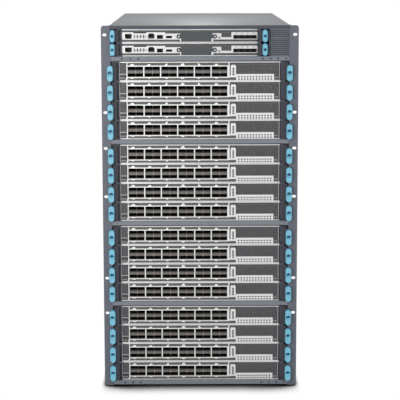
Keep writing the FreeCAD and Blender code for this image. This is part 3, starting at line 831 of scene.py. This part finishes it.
def clock_jacks(bm, top):
    """Four round coaxial jacks, each with a nickel shell and a pin, and a dark mark to its left that is painted
    shadow.
    """
    shell = ((-LINE_PROUD, 2.9), (-6.0, 2.9), (-6.5, 2.6), (-6.5, 1.2), (-1.6, 1.2))
    for x in (-156.4, -148.6, -140.8, -133.0):
        centre = (x, top - 18.3)
        loft(bm, turned(centre, shell), FACE, False, True)
        plate(bm, disc(centre, 1.1), (-2.2, -1.7), DARK)
        # Dark mark beside the jack: painted shadow
        plate(bm, rounded_box((x - 5.0, x - 2.7), (top - 22.6, top - 13.0), 1.0, 3), (-1.8, -1.4), DARK)


def thumbscrew(bm, centre):
    """Captive thumbscrew: a dark collar round a light screw."""
    collar = ((-1.4, 5.2), (-4.0, 5.2), (-4.6, 4.7), (-4.6, 2.2))
    screw = ((-4.6, 2.2), (-6.8, 2.1), (-7.2, 1.7))
    loft(bm, turned(centre, collar, 20), DARK)
    loft(bm, turned((centre[0] + 0.3, centre[1]), screw, 20), FACE, False, True)


def control_front():
    """Front sheet of a control board, its lower edge at z = 0 and its face at y = 0."""
    bm = bmesh.new()
    top = CONTROL_PITCH

    def strip(x, drops, proud=LINE_PROUD, finish=FACE):
        slab(bm, x, (-proud, 0.0), (top - drops[1], top - drops[0]), finish)

    def vent(x, drops):
        honeycomb(bm, x, (top - drops[1], top - drops[0]), (-SHEET, 0.0), finish=VENT)

    strip((CONTROL_LEFT, CONTROL_RIGHT), (0.3, 2.4), RIM_PROUD)
    strip((CONTROL_LEFT, CONTROL_RIGHT), (30.8, 32.8), RIM_PROUD)
    vent((CONTROL_LEFT, CONTROL_RIGHT), (1.6, 8.0))
    vent((CONTROL_LEFT, CONTROL_RIGHT), (24.8, 31.8))
    for drop in (8.9, 12.0, 15.1, 18.1, 21.4):
        strip((CONTROL_LEFT, CONTROL_LEFT + 2.6), (drop - 0.8, drop + 0.8), 2.0)

    # Socket with a keyed lower edge, and the clock jacks on a lower face beside it
    network, network_drops, key_drop = (-183.0, -166.0), (11.2, 23.4), 20.9
    jacks = (-162.0, -130.4)
    windowed_face(strip, (CONTROL_LEFT + 2.0, jacks[0]), (7.4, CONTROL_LOW), [network + network_drops])
    for x in ((network[0], -178.8), (-169.8, network[1])):
        strip(x, (key_drop, network_drops[1]), 1.3, INNER)
    socket_frame(strip, network, (network_drops[0], key_drop))
    vent((jacks[0] - 0.6, jacks[1] + 0.2), (7.4, 10.8))
    strip(jacks, (10.2, CONTROL_LOW))
    clock_jacks(bm, top)

    # Socket with cut corners, a square one and a flat one
    cornered, cornered_drops = (-126.4, -110.6), (10.0, 23.8)
    corner = (4.0, 3.6)
    faces_meet = -84.4
    windowed_face(strip, (jacks[1], faces_meet), (7.6, CONTROL_LOW),
                  [cornered + cornered_drops, (-104.9, -90.0, 14.2, 23.6)])
    for x, inwards in zip(cornered, (1, -1)):
        plate(bm, [(x, top - cornered_drops[0]), (x + inwards * corner[0], top - cornered_drops[0]),
                   (x, top - cornered_drops[0] - corner[1])], (-LINE_PROUD, 0.0))
    strip(cornered, (20.7, cornered_drops[1]), 1.2, INNER)
    windowed_face(strip, (faces_meet, -47.2), (10.8, CONTROL_LOW), [(-82.5, -67.7, 16.3, 22.2)])

    # Blank cover between two thumbscrews
    cover = (-47.4, 31.2)
    cover_face_end = 52.6
    vent((faces_meet - 0.2, cover_face_end + 0.8), (7.4, 11.4))
    for x in (-51.7, 36.5):
        thumbscrew(bm, (x, top - SCREW_DROP))
    strip((-48.3, -45.6), (22.6, 30.2), 3.0)
    strip((28.4, 33.1), (22.6, 30.0), 3.0)
    plate(bm, rounded_box(cover, (top - 27.0, top - 9.6), 1.2), (-2.6, -0.4), COVER)
    strip((cover[1], cover_face_end), (10.2, CONTROL_LOW))
    strip((45.4, 49.6), (19.0, 23.0), 1.7, INNER)

    # Optical sockets in a row, with a light pipe over each
    optical, optical_drops = (81.9, 139.3), (14.8, 24.0)
    face_left = 77.0
    vent((cover_face_end - 0.6, face_left + 0.4), (7.4, 20.4))
    strip((cover_face_end, face_left), (20.0, CONTROL_LOW))
    windowed_face(strip, (face_left, CONTROL_RIGHT), (7.6, CONTROL_LOW), [optical + optical_drops])
    # Dark dividers between the optical sockets: painted shade
    for x in (96.6, 110.6, 124.8):
        strip((x - 0.5, x + 0.5), optical_drops, 1.2, SHADED)
    for x in (88.6, 103.1, 116.9, 131.4):
        plate(bm, disc((x, top - 10.6), 1.4, 8), (-1.7, -1.2), DARK)
    return finished_mesh("control_front", bm)


def add_control_boards():
    """The control boards' fronts, and the parts on their boards."""
    front = control_front()
    rear = limits("control_board_1")[1].y
    parts = board_parts("control_parts", CONTROL_BOARD_HALF, (PLATE_Y + 30.0, rear - 10.0), CONTROL_BOARD, 12.0)
    covers = (end_cover("board_end_cover_left", (CONTROL_LEFT - 12.0, CONTROL_LEFT - 0.4), CONTROL_PITCH),
              end_cover("board_end_cover_right", (CONTROL_RIGHT + 0.2, CONTROL_RIGHT + 9.0), CONTROL_PITCH))
    materials = (SATIN_NICKEL, CAGE, BLACK, MESH, SHADED_CAGE_EDGE, SLATE)
    for i in range(CONTROL_COUNT):
        node = "control_board_%d" % (i + 1)
        dress_board(node, front, materials, covers, parts, row_floor(node), CONTROL_BODY)


def add_status_panel():
    """Perforated cover with a light border and a cross line, over the dark tray."""
    low, high = limits("status_panel")
    hole_pitch, hole_width = 5.6, 4.3
    line = 1.4
    cross_share = 0.66
    inset = 0.6
    bm = bmesh.new()
    y = (low.y - line, low.y)
    honeycomb(bm, (low.x + inset, high.x - inset), (low.z + inset, high.z - inset), (low.y - SHEET, low.y),
              hole_pitch, hole_width)
    for x in ((low.x, low.x + line), (high.x - line, high.x)):
        slab(bm, x, y, (low.z, high.z), 1)
    for z in (low.z, low.z + (high.z - low.z) * cross_share, high.z - line):
        slab(bm, (low.x + line, high.x - line), y, (z, z + line), 1)
    new_piece("status_panel_cover", finished_mesh("status_panel_cover", bm), "chassis", (PANEL_MESH, BARS))
    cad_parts["status_panel"].data.materials[0] = BLACK


# Housing

def add_bar_faces():
    """Folded sheet on each cross bar, which leaves uncovered a strip of the black bar along its lower edge,
    painted shade under the bar.
    """
    low, high = limits("cross_bars")
    painted_shade_strip = 2.2
    for level in range(BAR_COUNT):
        floor = level * LEVEL_PITCH
        bm = bmesh.new()
        slab(bm, (low.x + 0.4, high.x - 0.4), (low.y - 1.4, low.y), (floor + painted_shade_strip, floor + BAR_HEIGHT - 0.2))
        face = new_piece("bar_face_%d" % (level + 1), finished_mesh("bar_face", bm), "chassis", (BARS,))
        bevel(face, 0.6)


def add_bar_screws():
    """Sunk screws near the ends of the lowest and the highest cross bar."""
    face_y = limits("cross_bars")[0].y
    profile = [(face_y - proud, radius) for proud, radius in ((1.5, 2.3), (1.75, 2.0), (1.45, 1.6))]
    bm = bmesh.new()
    for level in (0, BAR_COUNT - 1):
        z = level * LEVEL_PITCH + BAR_HEIGHT / 2 + 0.8
        for x in BAR_SCREWS:
            loft(bm, turned((x, z), profile, 12), 0, False, True)
    new_piece("bar_screws", finished_mesh("bar_screws", bm), "chassis", (BLACK,))


def wire_ring(bm, centre, radius, y):
    """Round wire bent to a circle that faces the rear."""
    half_wire = 1.1
    steps = 32
    loops = []
    for step in range(steps + 1):
        turn = 2 * math.pi * step / steps
        loops.append([(centre[0] + (radius + half_wire * math.cos(k * math.pi / 3)) * math.cos(turn),
                       y + half_wire * math.sin(k * math.pi / 3),
                       centre[1] + (radius + half_wire * math.cos(k * math.pi / 3)) * math.sin(turn))
                      for k in range(6)])
    loft(bm, loops)


def fan_guard(bm, centre, y):
    """Wire rings on four spokes over a fan, screwed to the tray at the spokes' ends."""
    inner, half = GUARD_RINGS[0] - 1.0, 1.2
    for radius in GUARD_RINGS:
        wire_ring(bm, centre, radius, y)
    for spoke in range(4):
        turn = math.pi / 4 + spoke * math.pi / 2
        along, across = (math.cos(turn), math.sin(turn)), (-math.sin(turn), math.cos(turn))
        outline = [(centre[0] + a * along[0] + b * across[0], centre[1] + a * along[1] + b * across[1])
                   for a, b in ((inner, -half), (GUARD_REACH, -half), (GUARD_REACH, half), (inner, half))]
        plate(bm, outline, (y - 2.2, y - 0.8))
        seat = (centre[0] + GUARD_REACH * along[0], centre[1] + GUARD_REACH * along[1])
        plate(bm, disc(seat, 4.2), (y - 2.6, y + 0.4))


def screw_head(bm, centre, y, radius):
    """Low pan head on a face that looks to the rear, with a cross-slot's dark bottom."""
    head = ((y - 0.2, radius), (y + 1.6, radius), (y + 2.6, radius * 0.7))
    loft(bm, turned(centre, head), 0, False, True)
    for a, b in ((0.5, 0.12), (0.12, 0.5)):
        block(bm, centre, (a * radius, b * radius), (y + 2.5, y + 2.75), 1)


def dress_fan_trays():
    """Guards over the fans and captive screws at the corners of each tray."""
    screw_inset = (9.0, 12.0)
    for word in ("left", "right"):
        node = "fan_tray_" + word
        low, high = limits(node)
        back = REAR_Y + TRAY_STEP
        top = HEIGHT - TRAY_CLEAR
        pitch = (top - low.z) / FANS_PER_TRAY
        centre_x = (low.x + high.x) / 2
        bm = bmesh.new()
        for fan in range(FANS_PER_TRAY):
            fan_guard(bm, (centre_x, low.z + (fan + 0.5) * pitch), back + 2.6)
        new_piece(node + "_guards", finished_mesh("fan_guards", bm), node, (GUARD_WIRE,))
        bm = bmesh.new()
        for x in (low.x + screw_inset[0], high.x - screw_inset[0]):
            for seam in range(FANS_PER_TRAY + 1):
                z = min(max(low.z + seam * pitch, low.z + screw_inset[1]), top - screw_inset[1])
                screw_head(bm, (x, z), back, 4.5)
        new_piece(node + "_screws", finished_mesh("tray_screws", bm), node, (SILVER, BLACK))
        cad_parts[node].data.materials[0] = fan_tray_finish(
            "zinc_plated_tray_" + word, centre_x, low.z + pitch / 2, pitch)


def dress_supplies():
    """Vents, inlet with pins, light pipe and latch on the rear of each power supply."""
    low, high = limits("power_supplies")
    steel, black, slate, teal = range(4)
    bay = (HEIGHT - 2 * WALL) / SUPPLY_COUNT
    edge, rim = 5.0, 1.0
    grid_half = 13.0  # the handle's bar lies between the two vents
    hole_pitch, hole_width = 5.2, 4.2
    inlet_half = (12.9, 9.9)
    inlet_bottom = REAR_Y - 17.2
    pins = ((-6.5, -2.0), (6.5, -2.0), (0.0, 3.5))
    pin_half = (1.0, 2.4)
    latch_half = (4.0, 9.0)
    bm = bmesh.new()
    for index in range(SUPPLY_COUNT):
        floor = WALL + index * bay + SUPPLY_GAP + (SHELF if index else 0)
        top = WALL + (index + 1) * bay - SUPPLY_GAP
        middle = (floor + top) / 2
        vents = (((low.x + edge, high.x - edge), (middle + grid_half, top - 6.0)),
                 ((low.x + 44.0, high.x - edge), (floor + 6.0, middle - grid_half)))
        for x, z in vents:
            slab(bm, x, (REAR_Y, REAR_Y + 0.4), z, black)
            honeycomb(bm, (x[0] - rim, x[1] + rim), (z[0] - rim, z[1] + rim), (REAR_Y + 1.4, REAR_Y + 0.4),
                      hole_pitch, hole_width, steel)
        inlet = (low.x + 23.0, floor + 20.0)
        block(bm, inlet, inlet_half, (inlet_bottom - 0.7, inlet_bottom), black)
        for across, up in pins:
            block(bm, (inlet[0] + across, inlet[1] + up), pin_half, (inlet_bottom, REAR_Y - 4.0), steel)
        plate(bm, disc((high.x - 7.0, middle), 2.2, 12), (REAR_Y - 0.1, REAR_Y + 1.0), slate)
        block(bm, (low.x + 8.0, middle), latch_half, (REAR_Y - 0.1, REAR_Y + 5.0), teal)
    new_piece("supply_faces", finished_mesh("supply_faces", bm), "chassis", (REAR_STEEL, BLACK, SLATE, TEAL_PLASTIC_AND_GRIP_SHADE))


def add_side_screws():
    """Flush countersunk screws along the edges of both side walls."""
    rows = 7
    margin = 40.0
    profile = ((-0.1, 4.6), (0.5, 4.2), (0.2, 2.2))  # how far out, and the radius there
    bm = bmesh.new()
    for side in (-1, 1):
        wall = side * WALL_HALF
        for y in (FLANGE_Y + margin, (FLANGE_Y + REAR_Y) / 2, REAR_Y - 30.0):
            for row in range(rows):
                z = margin + row * (HEIGHT - 2 * margin) / (rows - 1)
                rings = [[(wall + side * out, py, pz) for py, pz in disc((y, z), radius)]
                         for out, radius in profile]
                loft(bm, rings, 0, False, True)
    new_piece("side_screws", finished_mesh("side_screws", bm), "chassis", (DARK_COAT,))


def dress_housing():
    """Finishes of the fixed pieces of the housing."""
    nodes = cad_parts
    nodes["chassis_housing"].data.materials[0] = HOUSING
    # The cross bars are black so that the strip left under each bar face is painted shade
    nodes["cross_bars"].data.materials[0] = BLACK
    nodes["power_supplies"].data.materials[0] = REAR_STEEL


# Studio

def looked_at(tree):
    """One where a thing is seen, itself, in a reflection or through glass, and nought where it only lights
    others."""
    path = add_node(tree, "ShaderNodeLightPath")
    plain = add_node(tree, "ShaderNodeMath", {"operation": "MAXIMUM"},
                     {0: (path, "Is Camera Ray"), 1: (path, "Is Glossy Ray")})
    return add_node(tree, "ShaderNodeMath", {"operation": "MAXIMUM"},
                    {0: (plain, "Value"), 1: (path, "Is Transmission Ray")})


def paper_floor():
    """Matt white paper: the camera sees it white, darker only where the object stands close to it. The shade
    reaches further in front of the object and behind it than beside it, where it is also weaker."""
    beside = (0.238, 0.252)  # in metres from the middle, where the side's shade takes over
    front_shade = (0.115, 0.52, 0.95, 0.0)  # reach in metres, darkest and lightest closeness, darkest tone
    side_shade = (0.03, 0.5, 0.95, 0.35)
    material = bpy.data.materials.new("matt_white_paper")
    material.use_nodes = True
    tree = material.node_tree
    tree.nodes.clear()
    aside = add_node(tree, "ShaderNodeMath", {"operation": "ABSOLUTE"}, {0: (object_axes(tree)[1], "X")})
    zone = add_node(tree, "ShaderNodeMapRange", {"interpolation_type": "SMOOTHSTEP"}, {
        "Value": (aside, "Value"), "From Min": beside[0], "From Max": beside[1], "To Min": 0.0, "To Max": 1.0})
    shades = []
    for reach, low, high, darkest in (front_shade, side_shade):
        near = add_node(tree, "ShaderNodeAmbientOcclusion", {"samples": 16}, {"Distance": reach})
        shades.append(add_node(tree, "ShaderNodeMapRange", {"interpolation_type": "SMOOTHSTEP"}, {
            "Value": (near, "AO"), "From Min": low, "From Max": high, "To Min": darkest, "To Max": 1.0}))
    shade = add_node(tree, "ShaderNodeMix", None, {
        "Factor": (zone, "Result"), "A": (shades[0], "Result"), "B": (shades[1], "Result")})
    seen = add_node(tree, "ShaderNodeEmission", None, {"Strength": (shade, "Result")})
    matt = add_node(tree, "ShaderNodeBsdfDiffuse", None, {"Color": linear("e8e8e8"), "Roughness": 0.9})
    choice = add_node(tree, "ShaderNodeMixShader", None,
                      {0: (looked_at(tree), "Value"), 1: (matt, "BSDF"), 2: (seen, "Emission")})
    add_node(tree, "ShaderNodeOutputMaterial", None, {"Surface": (choice, "Shader")})
    return material


def add_floor():
    """Paper floor, a little under the object."""
    half = 9000.0
    clear = 0.2
    bm = bmesh.new()
    bm.faces.new([bm.verts.new((x * half, y * half, -clear)) for x, y in ((-1, -1), (1, -1), (1, 1), (-1, 1))])
    floor = new_piece("floor", finished_mesh("floor", bm), None, (paper_floor(),))


def add_world():
    """White background, which lights the object at a lower level than the camera sees."""
    world = bpy.data.worlds.new("studio")
    bpy.context.scene.world = world
    world.use_nodes = True
    tree = world.node_tree
    tree.nodes.clear()
    strength = add_node(tree, "ShaderNodeMapRange", None,
                        {"Value": (looked_at(tree), "Value"), "To Min": 0.4, "To Max": 1.0})
    light = add_node(tree, "ShaderNodeBackground", None,
                     {"Color": (1, 1, 1, 1), "Strength": (strength, "Result")})
    add_node(tree, "ShaderNodeOutputWorld", None, {"Surface": (light, "Background")})


def add_lamps():
    """Two broad soft lamps in front, and a narrow one over the roof that leaves its sides darker."""
    front_aim = (0, -300, 450)
    for name, place, aim, size, power in (
            ("key", (-1100, -2700, 900), front_aim, (1500, 1500), 37.0),
            ("fill", (1900, -2300, 720), front_aim, (1600, 1600), 12.0),
            ("top", (0, 40, 1215), (0, 40, 900), (60, 640), 1.5)):
        lamp = bpy.data.lights.new(name, "AREA")
        lamp.shape = "RECTANGLE"
        lamp.size, lamp.size_y = size[0] * MM, size[1] * MM
        lamp.energy = power
        holder = bpy.data.objects.new(name, lamp)
        holder.location = Vector(place) * MM
        holder.rotation_euler = (Vector(aim) - Vector(place)).to_track_quat("-Z", "Y").to_euler()
        bpy.context.collection.objects.link(holder)


def add_camera():
    """Long lens a little above the top, looking slightly down. Focal length and lens axis are in pixels of
    the square image, angles in radians."""
    image_width = 400
    focal = 1406.6
    axis_px = (192.55, 170.0)
    pitch, roll = 0.14682, -0.00265
    place = Vector((-18.6, FLANGE_Y - 3438.7, 1057.8))
    lens = bpy.data.cameras.new("camera")
    lens.sensor_width = 36
    lens.lens = focal / image_width * lens.sensor_width
    lens.shift_x = (image_width / 2 - axis_px[0]) / image_width
    lens.shift_y = (axis_px[1] - image_width / 2) / image_width
    lens.clip_end = 50
    camera = bpy.data.objects.new("camera", lens)
    camera.matrix_world = (Matrix.Translation(place * MM) @ Matrix.Rotation(math.pi / 2 - pitch, 4, "X")
                           @ Matrix.Rotation(roll, 4, "Z"))
    bpy.context.collection.objects.link(camera)
    bpy.context.scene.camera = camera


add_line_cards()
add_levers()
add_control_boards()
add_status_panel()
add_bar_faces()
add_bar_screws()
add_side_screws()
dress_fan_trays()
dress_supplies()
dress_housing()
add_floor()
add_world()
add_lamps()
add_camera()
bpy.context.scene.view_settings.view_transform = "Standard"
